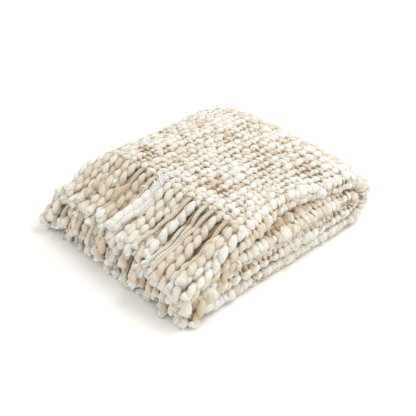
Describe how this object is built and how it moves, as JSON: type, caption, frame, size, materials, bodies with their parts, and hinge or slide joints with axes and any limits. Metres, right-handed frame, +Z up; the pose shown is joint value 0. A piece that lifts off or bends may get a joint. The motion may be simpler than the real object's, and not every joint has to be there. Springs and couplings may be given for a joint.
{
  "type": "folded woven throw blanket",
  "caption": "Chunky thick-and-thin woven throw blanket, folded into a squarish pack with long fringes along one side.",
  "frame": {"origin": "centre of the bounding box at the floor", "axes": "+Z up; -X the way the fringe strands point; Y along the fringed ends"},
  "size_m": [0.5158, 0.4372, 0.141],
  "materials": {
    "cloth": "matt slub-yarn plain weave in ivory, cream and tan",
    "fringe": "matt thick-and-thin roving strands"
  },
  "bodies": {
    "root": {"throw_body": "cloth", "fringe_top": "fringe", "fringe_lower": "fringe"}
  },
  "joints": []
}
